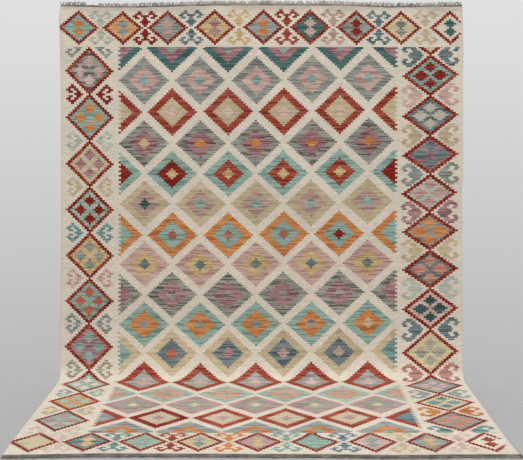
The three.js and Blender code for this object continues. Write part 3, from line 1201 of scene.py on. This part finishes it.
value = ramp(t, picks, 0.25, 0.75, 1 - PICK_SWING, 1 + PICK_SWING)
for waves_across, waves_down, swing in TONES:
    patches = cloth_noise(t, x, y, waves_across, waves_down)
    value = math_node(t, "MULTIPLY", value, ramp(t, patches, 0.3, 0.7, 1 - swing, 1 + swing))
tone = vector_of(t, value, value, value)
t.links.new(mix_colour(t, 1.0, dyed, tone, "MULTIPLY"), leave.inputs["Colour"])
t.links.new(picks, leave.inputs["Lightness"])
print("wool group:", len(t.nodes), "nodes")

# %% [markdown]
# ## The weave as a node group
# In a kilim the warps lie hidden, about three millimetres apart, and show only as soft upright ribs.
# Each pick of weft hops over one warp and under the next, so its beads stand staggered like bricks.

# %% Weft-faced weave
WARP_SPACING = 0.003
WARPS_BEFORE = 1000.0  # added so that no warp's number is negative
BEAD_SHARE = 0.55  # of the height that a bead of weft gives, over the rib of the warp

weave_group, entry, leave = new_group("weft_faced_weave", [("Weave", "Vector")], [("Height", "Float")])
t = weave_group
x, y, _ = parts_of(t, entry.outputs["Weave"])
warp = math_node(t, "DIVIDE", x, WARP_SPACING)
rib = math_node(t, "ABSOLUTE", math_node(t, "SINE", math_node(t, "MULTIPLY", warp, math.pi)))
stagger = math_node(t, "MULTIPLY", math_node(t, "MODULO", math_node(t, "FLOOR", math_node(
    t, "ADD", warp, WARPS_BEFORE)), 2.0), 0.5)
bead_place = math_node(t, "ADD", math_node(t, "DIVIDE", y, 2 * PICK), stagger)
bead = math_node(t, "ABSOLUTE", math_node(t, "SINE", math_node(t, "MULTIPLY", bead_place, math.pi)))
beaded = math_node(t, "MULTIPLY_ADD", bead, BEAD_SHARE, 1 - BEAD_SHARE)
t.links.new(math_node(t, "MULTIPLY", rib, beaded), leave.inputs["Height"])
print("weave group:", len(t.nodes), "nodes")

# %% [markdown]
# ## One colour over another
# Seven colours are laid over one another, each where its mask says: cream, the three rings of the
# first figure and the three of the second, whose outer one also draws the hooks. With each colour go
# its streakiness and a seed of its own, so one small group does for every layer.

# %% One layer of the pattern
layer_group, entry, leave = new_group(
    "pattern_layer",
    [("Colour Below", "Color"), ("Streaks Below", "Float"), ("Seed Below", "Float"),
     ("Colour", "Color"), ("Streaks", "Float"), ("Seed", "Float"), ("Mask", "Float")],
    [("Colour", "Color"), ("Streaks", "Float"), ("Seed", "Float")])
t = layer_group
mask = entry.outputs["Mask"]
t.links.new(mix_colour(t, mask, entry.outputs["Colour Below"], entry.outputs["Colour"]),
            leave.inputs["Colour"])
for label in ("Streaks", "Seed"):
    t.links.new(mix_value(t, mask, entry.outputs[label + " Below"], entry.outputs[label]),
                leave.inputs[label])
print("layer group:", len(t.nodes), "nodes")

# %% [markdown]
# ## The edges of the stairs
# A woven edge is never ruled: it strays by a fraction of a stair as the weft turns back. A slow noise
# is added to the place in the plan before it is rounded, so the edge strays and stays crisp.

# %% The cloth's material: places in the plan
EDGE_WOBBLE = 0.28  # in steps
SIDE_WOBBLES = (40.0, 95.0)  # waves per metre across and down of what moves an edge sideways
ROW_WOBBLES = (22.0, 9.0, 5.0)  # the same for what moves it up or down, with a seed of its own

kilim, t, shader = new_material("kilim_wool")
weave_uv = t.nodes.new("ShaderNodeUVMap")
weave_uv.uv_map = "weave"
weave_place = weave_uv.outputs["UV"]
x, y, _ = parts_of(t, weave_place)
wobble_u = cloth_noise(t, x, y, *SIDE_WOBBLES)
wobble_v = cloth_noise(t, x, y, *ROW_WOBBLES)
wobble = vector_node(t, "SCALE", vector_node(t, "SUBTRACT", vector_of(t, wobble_u, wobble_v),
                                             (0.5, 0.5, 0.0)))
wobble.node.inputs["Scale"].default_value = 2 * EDGE_WOBBLE
kind_a, kind_b, _ = parts_of(t, attribute(t, "kinds").outputs["Vector"])
print("plan nodes:", len(t.nodes))

# %% [markdown]
# ## Dyed wool from the plan
# The material lays the figures over the cream ground, one layer after the other. The dark outlines
# are carded from two reds, and flecks of the lighter one show in them.

# %% The cloth's material: colours
FLECK_SIZE = (0.024, 0.0085)
FLECKS_FROM_TO = (0.50, 0.56)  # the noise at which a fleck begins and is full

cream_colour, cream_streaks = YARNS["cream"]
layers = [linear(cream_colour) + (1.0,), cream_streaks, 0.0]
slit_masks = []
for letter, offset in (("a", 11.0), ("b", 53.0)):
    at = attribute(t, "place_" + letter).outputs["Vector"]
    seed = math_node(t, "ADD", parts_of(t, at)[2], offset)
    moved = vector_node(t, "ADD", at, wobble)
    dots = attribute(t, "dots_" + letter)
    lozenge = use_group(t, lozenge_group, Place=moved, Last_Column=dots.outputs["Alpha"],
                        Sizes=attribute(t, "sizes_" + letter).outputs["Vector"],
                        Dots=dots.outputs["Vector"])
    slit_masks.append(lozenge.outputs["Slit"])
    masks = {name: lozenge.outputs[name.title()] for name in ("outer", "inner", "heart")}
    if letter == "b":
        for kind, group in hook_groups.items():
            hook = math_node(t, "MULTIPLY", use_group(t, group, Place=moved).outputs[0],
                             math_node(t, "COMPARE", kind_b, float(kind), 0.5))
            masks["outer"] = math_node(t, "MAXIMUM", masks["outer"], hook)
    for ring, (name, mask) in enumerate(masks.items()):
        yarn = attribute(t, name + "_" + letter)
        colour = yarn.outputs["Color"]
        if (letter, name) == ("a", "outer"):
            flecks = noise(t, vector_of(t, math_node(t, "DIVIDE", x, FLECK_SIZE[0]),
                                        math_node(t, "DIVIDE", y, FLECK_SIZE[1]), seed))
            rusty = math_node(t, "MULTIPLY", ramp(t, flecks, *FLECKS_FROM_TO),
                              math_node(t, "COMPARE", kind_a, float(FLECKED), 0.5))
            colour = mix_colour(t, rusty, colour, linear(YARNS["russet"][0]) + (1.0,))
        layer = use_group(t, layer_group, Colour_Below=layers[0], Streaks_Below=layers[1],
                          Seed_Below=layers[2], Colour=colour, Streaks=yarn.outputs["Alpha"],
                          Seed=math_node(t, "ADD", seed, float(3 * ring)), Mask=mask)
        layers = [layer.outputs[label] for label in ("Colour", "Streaks", "Seed")]
print("kilim material so far:", len(t.nodes), "nodes")

# %% [markdown]
# ## The finish of the wool
# Streaks go over the colours, and a dark line of painted shade marks the slits that a kilim has where
# two colours meet along a warp, for the shadow inside each gap. Ribs, beads and picks stand up in a bump
# a fraction of a millimetre deep. The wool is matt, with a little sheen from its fibres.

# %% The cloth's material: finish
# The slits are mixed towards near black: painted shade for the shadow inside each gap.
SLIT_SHADE = 0.55
SLIT_SHADE_COLOUR = (0.02, 0.018, 0.015, 1)
SLIT_DEPTH = -0.8  # beside a weave height of 1
PICK_HEIGHT = 0.5
WEAVE_DEPTH = 0.0006
WEAVE_STRENGTH = 0.6
WOOL_ROUGHNESS = (0.82, 0.94)

wool = use_group(t, wool_group, Colour=layers[0], Streaks=layers[1], Seed=layers[2],
                 Weave=weave_place)
slit = math_node(t, "MULTIPLY", math_node(t, "MAXIMUM", *slit_masks), SLIT_SHADE)
t.links.new(mix_colour(t, slit, wool.outputs["Colour"], SLIT_SHADE_COLOUR), shader.inputs["Base Color"])
weave = use_group(t, weave_group, Weave=weave_place)
bump = t.nodes.new("ShaderNodeBump")
bump.inputs["Distance"].default_value = WEAVE_DEPTH
bump.inputs["Strength"].default_value = WEAVE_STRENGTH
surface = math_node(t, "MULTIPLY_ADD", slit, SLIT_DEPTH, math_node(
    t, "MULTIPLY_ADD", wool.outputs["Lightness"], PICK_HEIGHT, weave.outputs["Height"]))
t.links.new(surface, bump.inputs["Height"])
t.links.new(bump.outputs[0], shader.inputs["Normal"])
t.links.new(ramp(t, wool.outputs["Lightness"], 0.2, 0.8, *WOOL_ROUGHNESS), shader.inputs["Roughness"])
shader.inputs["Specular IOR Level"].default_value = 0.12
shader.inputs["Sheen Weight"].default_value = 0.03
shader.inputs["Sheen Roughness"].default_value = 0.5
cloth_mesh.materials.append(kilim)
print("kilim material:", len(t.nodes), "nodes")

# %% [markdown]
# ## The fringes
# At both ends the warps leave the cloth, are plaited into a firm cord that locks the last wefts, and
# end in short loose tufts. A plait is three strands on the same figure-of-eight path, a third of a
# turn apart, so one tube and a loop make it.

# %% Tubes
UPWARDS = np.array([0.31, 0.17, 0.94])  # two helping directions: a tube uses the one that it
SIDEWAYS = np.array([0.9, 0.3, 0.1])    # doesn't run along, to find which way its sides face


def tube(path, radii, sides):
    """Points and faces of a closed round tube along a path, with its own radius at every point."""
    ahead = np.gradient(path, axis=0)
    ahead /= np.linalg.norm(ahead, axis=1, keepdims=True)
    helper = UPWARDS if abs(ahead[0][2]) < 0.7 else SIDEWAYS
    first = np.cross(ahead, helper)
    first /= np.linalg.norm(first, axis=1, keepdims=True)
    second = np.cross(ahead, first)
    turns = np.linspace(0, 2 * np.pi, sides, endpoint=False)
    circle = (np.cos(turns)[None, :, None] * first[:, None] + np.sin(turns)[None, :, None] * second[:, None])
    rings = path[:, None] + np.asarray(radii)[:, None, None] * circle
    count = len(path)
    faces = []
    for a in range(count - 1):
        for b in range(sides):
            c = (b + 1) % sides
            faces.append([a * sides + b, a * sides + c, (a + 1) * sides + c, (a + 1) * sides + b])
    faces.append(list(range(sides))[::-1])
    faces.append([(count - 1) * sides + b for b in range(sides)])
    return rings.reshape(-1, 3), faces


straight = np.array([[0, 0, 0], [0, 0, 1.0]])
print("a tube of 2 points and 5 sides has", len(tube(straight, [1, 1], 5)[1]), "faces")

# %% [markdown]
# ## Many strands in one mesh
# Hundreds of yarn ends are easier to handle as one piece. Each strand keeps its own tone, and a map
# with metres along it and turns around it, so the twist of the yarn can follow every strand.

# %% Bundles of tubes
class Bundle:
    """Many tubes that become one mesh, with a UV map in metres along and turns around each."""

    def __init__(self):
        self.points, self.faces, self.uvs, self.shades, self.count = [], [], [], [], 0

    def add(self, path, radii, sides, shade):
        """Adds one tube, with a tone between 0 and 1."""
        made, faces = tube(path, radii, sides)
        along = np.concatenate([[0], np.cumsum(np.linalg.norm(np.diff(path, axis=0), axis=1))])
        self.points.append(made)
        for face in faces:
            self.faces.append([self.count + corner for corner in face])
            turns = [corner % sides for corner in face]
            closes = len(face) == 4 and 0 in turns and sides - 1 in turns
            for corner, turn in zip(face, turns):
                around = 1.0 if closes and turn == 0 else turn / sides
                self.uvs.append((along[corner // sides], around))
                self.shades.append(shade)
        self.count += len(made)

    def to_piece(self, name):
        """Makes the mesh and its object."""
        mesh = bpy.data.meshes.new(name)
        mesh.from_pydata(np.concatenate(self.points).tolist(), [], self.faces)
        strand_map = mesh.uv_layers.new(name="strand")
        strand_map.uv.foreach_set("vector", np.array(self.uvs, np.float32).ravel())
        shade = mesh.attributes.new("shade", "FLOAT", "CORNER")
        shade.data.foreach_set("value", np.array(self.shades, np.float32))
        piece = bpy.data.objects.new(name, mesh)
        scene.collection.objects.link(piece)
        return piece


trial = Bundle()
trial.add(straight, [1, 1], 5, 0.5)
print("a bundle of one such tube has", trial.count, "points and", len(trial.faces), "faces")

# %% [markdown]
# ## Plaits and worn ends
# The top end has one plait under a low tangle of short warp ends. Along the bottom end two plaits lie
# side by side and their ends are trodden flat along them, so it reads as one dark rope. The outer plait
# is given a darker tone, a painted shadow where the cord meets the floor.

# %% Sizes of the fringes
@dataclass
class Fringe:
    direction: int  # 1 where it points up the rug, -1 down
    plaits: int
    plait_width: float
    pitch: float  # between the loose ends
    shortest: float
    longest: float
    lean: float  # how far an end leans to the right, in its own lengths
    spread: float  # of that lean
    overrun: float  # past the right side


FRINGES = {
    "top": Fringe(1, 1, 0.0100, 0.0030, 0.0115, 0.0165, 0.15, 0.75, 0.0),
    "bottom": Fringe(-1, 2, 0.0122, 0.0048, 0.0040, 0.0085, 3.5, 1.2, 0.011),
}
END_GAP = 0.0003
STRAND_RADIUS = 0.0021
STRAND_PERIOD = 0.021
STRAND_STEPS = 10  # path points in one period
STRAND_SIDES = 6
STRAND_LIFT = 0.0033  # of a plait's middle over the underside
STRAND_WEAVE = 0.0011  # how far a strand rises and dips as it crosses another
STRAND_UNEVEN = 0.10  # how much a plait's width and its strands' thickness vary
PLAIT_TURN = 0.4  # how far one plait's crossings lie from the next one's, in periods
# the step per plait makes the bottom end's outer plait darker: a painted shadow where that cord meets the
# floor
PLAIT_TONES_AND_SHADE = (0.30, 0.10, -0.30)  # of the first strand, then the step per strand and per plait
LOOSE_RADII = 0.0017 * np.array([1.0, 1.05, 1.0, 0.85, 0.5])  # from root to tip
LOOSE_SIDES = 5
LOOSE_LIFT = 0.0030
LOOSE_RISE = 0.0022  # at most, of a loose end's middle
LOOSE_CURL = 0.0026
LOOSE_ROOT = 0.45  # where it leaves the plaits, as a share of their width
LOOSE_SPAN = (-0.998, 1.008)  # across: no loose end strays past these
LOOSE_MARGIN = 0.004  # from the cloth's sides to the first and last
WORN_PLACES = {  # from and to, from the left side, and the share of the length that is left
    "top": [(0.131, 0.188, 0.15), (1.242, 1.262, 0.3)],
    "bottom": [],
}
FRINGE_SEEDS = {"top": 5, "bottom": 6}
print("plait periods across the rug:", round(CLOTH_WIDTH / STRAND_PERIOD))

# %% [markdown]
# A point of a fringe is given by its place across and its distance beyond the cloth's end. The same
# fold and the same wander as the cloth's carry it, so the fringe can't come away from the edge.

# %% Plaits and loose ends
def fringe_point(end, across, beyond, out):
    """A point at a distance beyond the cloth's end."""
    across = np.asarray(across, float)
    down = np.full_like(across, 0.0 if end == "top" else CLOTH_LENGTH)
    along = HANGING_LENGTH - down + end_shift(across, down)
    along = along + FRINGES[end].direction * (END_GAP + beyond)
    return place_on_rug(side_share(across, down), along, out)


def plait(bundle, end, number):
    """Three strands that pass over one another across the whole width."""
    fringe = FRINGES[end]
    half = fringe.plait_width / 2 - STRAND_RADIUS
    middle = fringe.plait_width * (number + 0.5)
    count = int(CLOTH_WIDTH / STRAND_PERIOD * STRAND_STEPS)
    across = np.linspace(-1 + STRAND_RADIUS, 1 - STRAND_RADIUS + fringe.overrun, count)
    for strand in range(3):
        turn = 2 * np.pi * (across / STRAND_PERIOD + strand / 3 + PLAIT_TURN * number)
        beyond = middle + half * np.sin(turn) * (1 + STRAND_UNEVEN * np.sin(across * 61))
        out = STRAND_LIFT + STRAND_WEAVE * np.sin(2 * turn)
        radii = STRAND_RADIUS * (1 + STRAND_UNEVEN * np.sin(across * 143 + strand))
        # on the bottom end the second plait comes out darker, as painted shadow
        shade = PLAIT_TONES_AND_SHADE[0] + PLAIT_TONES_AND_SHADE[1] * strand + PLAIT_TONES_AND_SHADE[2] * number
        bundle.add(fringe_point(end, across, beyond, out), radii, STRAND_SIDES, shade)


def loose_ends(bundle, end, chance):
    """Short warp ends beyond the plaits, tangled and in places worn away."""
    fringe = FRINGES[end]
    width = fringe.plaits * fringe.plait_width
    share = np.linspace(0, 1, len(LOOSE_RADII))
    across = -1 + LOOSE_MARGIN
    while across < 1 - LOOSE_MARGIN:
        worn = [left for start, stop, left in WORN_PLACES[end] if start < across + 1 < stop]
        height = 1 + 0.10 * math.sin(across * 21 + 1) + 0.08 * math.sin(across * 74)
        length = chance.uniform(fringe.shortest, fringe.longest) * height * (worn[0] if worn else 1)
        lean = length * chance.normal(fringe.lean, fringe.spread)
        curl = chance.normal(0, LOOSE_CURL)
        rise = chance.uniform(0.0, LOOSE_RISE)
        sideways = np.clip(across + lean * share + curl * np.sin(np.pi * share * 1.5), *LOOSE_SPAN)
        beyond = LOOSE_ROOT * width + ((1 - LOOSE_ROOT) * width + length) * share
        out = LOOSE_LIFT + rise * np.sin(np.pi * share * 0.8)
        radii = LOOSE_RADII * chance.uniform(0.7, 1.1)
        bundle.add(fringe_point(end, sideways, beyond, out), radii, LOOSE_SIDES, chance.uniform(0, 1))
        across += fringe.pitch * chance.uniform(0.6, 1.4)


fringes = {}
for end in FRINGES:
    bundle = Bundle()
    for number in range(FRINGES[end].plaits):
        plait(bundle, end, number)
    loose_ends(bundle, end, np.random.default_rng(FRINGE_SEEDS[end]))
    fringes[end] = bundle.to_piece("warp_fringe_" + end)
    smooth(fringes[end], 60)
    print(end, "fringe:", len(bundle.faces), "faces, size",
          tuple(round(d, 4) for d in fringes[end].dimensions))

# %% [markdown]
# ## The fringes' material
# The warps are undyed grey-brown wool, and those of the bottom end are darker. Fine diagonal lines
# show the twist of the yarn, and each strand has a tone of its own; the bottom end's outer plait has a
# darker one, painted shadow.

# %% Undyed warp wool
TWIST_PITCH = 0.0045
TWIST_DEPTH = 0.0005
TWIST_TONE = 0.18  # how much the twist lightens the yarn
STRAND_TONE = 0.5  # how much one strand differs from another
FUZZ_HEIGHT = 0.8  # beside a twist height of 1
BLOTCHES = 14.0  # per metre
FUZZ = 900.0
WARP_ROUGHNESS = (0.85, 0.98)


def warp_material(name, colour, dark_colour):
    """Twisted wool between two colours."""
    material, tree, shader = new_material(name)
    strand = tree.nodes.new("ShaderNodeUVMap")
    strand.uv_map = "strand"
    along, around, _ = parts_of(tree, strand.outputs["UV"])
    twist = math_node(tree, "SINE", math_node(tree, "MULTIPLY", math_node(
        tree, "ADD", math_node(tree, "DIVIDE", along, TWIST_PITCH), around), 2 * math.pi))
    position = tree.nodes.new("ShaderNodeTexCoord").outputs["Object"]
    blotch = noise(tree, position, scale=BLOTCHES, detail=3.0)
    shade = attribute(tree, "shade").outputs["Fac"]
    tone = math_node(tree, "MULTIPLY_ADD", shade, STRAND_TONE, math_node(
        tree, "MULTIPLY_ADD", twist, TWIST_TONE, ramp(tree, blotch, 0.3, 0.7, -0.1, 0.5)))
    tree.links.new(mix_colour(tree, tone, linear(dark_colour) + (1.0,), linear(colour) + (1.0,)),
                   shader.inputs["Base Color"])
    bump = tree.nodes.new("ShaderNodeBump")
    bump.inputs["Distance"].default_value = TWIST_DEPTH
    bump.inputs["Strength"].default_value = 0.7
    fuzz = noise(tree, position, scale=FUZZ, detail=2.0)
    tree.links.new(math_node(tree, "MULTIPLY_ADD", fuzz, FUZZ_HEIGHT, twist), bump.inputs["Height"])
    tree.links.new(bump.outputs[0], shader.inputs["Normal"])
    tree.links.new(ramp(tree, fuzz, 0.3, 0.7, *WARP_ROUGHNESS), shader.inputs["Roughness"])
    shader.inputs["Sheen Weight"].default_value = 0.15
    shader.inputs["Specular IOR Level"].default_value = 0.2
    return material


fringes["top"].data.materials.append(warp_material("warp_wool_top", "#a89b90", "#675c54"))
fringes["bottom"].data.materials.append(warp_material("warp_wool_bottom", "#9b8e84", "#4f4741"))
print("fringe materials are in place")

# %% [markdown]
# ## The floor
# A plain pale floor catches the soft shadow under the rug's end. It fades into the room at its far
# edge and behind the rug, as the paper sweep of a studio does, so no horizon shows.

# %% Floor
FLOOR_RADIUS = 6.0
FADE_FROM = 1.2
FADE_TO = 2.6
FADE_BEHIND = (0.0, 0.55)  # the floor ends behind the rug, so that no shadow band shows there
FLOOR_SHADES = (0.331, 0.349)
FLOOR_GRAIN = 40.0  # per metre

bpy.ops.object.select_all(action="DESELECT")
bpy.ops.mesh.primitive_circle_add(vertices=96, radius=FLOOR_RADIUS, fill_type="NGON", location=(0, 0, 0))
floor = bpy.context.active_object
floor.name = "studio_floor"
floor_material, t, shader = new_material("studio_floor")
floor_place = t.nodes.new("ShaderNodeTexCoord").outputs["Object"]
length = t.nodes.new("ShaderNodeVectorMath")
length.operation = "LENGTH"
t.links.new(floor_place, length.inputs[0])
_, behind, _ = parts_of(t, floor_place)
near_middle = ramp(t, length.outputs["Value"], FADE_FROM, FADE_TO, 1.0, 0.0)
in_front = ramp(t, behind, *FADE_BEHIND, 1.0, 0.0)
t.links.new(math_node(t, "MULTIPLY", near_middle, in_front), shader.inputs["Alpha"])
grain = noise(t, floor_place, scale=FLOOR_GRAIN)
shade = ramp(t, grain, 0.3, 0.7, *FLOOR_SHADES)
t.links.new(vector_of(t, shade, shade, shade), shader.inputs["Base Color"])
shader.inputs["Roughness"].default_value = 0.9
shader.inputs["Specular IOR Level"].default_value = 0.1
floor.data.materials.append(floor_material)
floor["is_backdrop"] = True
print("floor radius:", FLOOR_RADIUS)

# %% [markdown]
# ## Joining the pieces to the CAD model
# The rug has no moving parts, so all three pieces ride on its one body. Each replaces its plain CAD
# solid, which is hidden.

# %% Pieces and bodies
for piece, node, slot in ((cloth, "rug_cloth", "wool_weave"),
                          (fringes["top"], "fringe_top", "warp_ends"),
                          (fringes["bottom"], "fringe_bottom", "warp_ends")):
    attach(piece, "root")
    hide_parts(node)
print("pieces:", [cloth.name] + [fringe.name for fringe in fringes.values()])

# %% [markdown]
# ## The size of the pieces
# The box of the finished pieces is printed.

# %% Size of the pieces
def plain(box):
    """A box as plain lists of numbers."""
    return [[float(value) for value in corner] for corner in box]


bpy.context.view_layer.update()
low, high = np.round(plain(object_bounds()), 4).tolist()
print("the finished pieces reach from", low, "to", high)
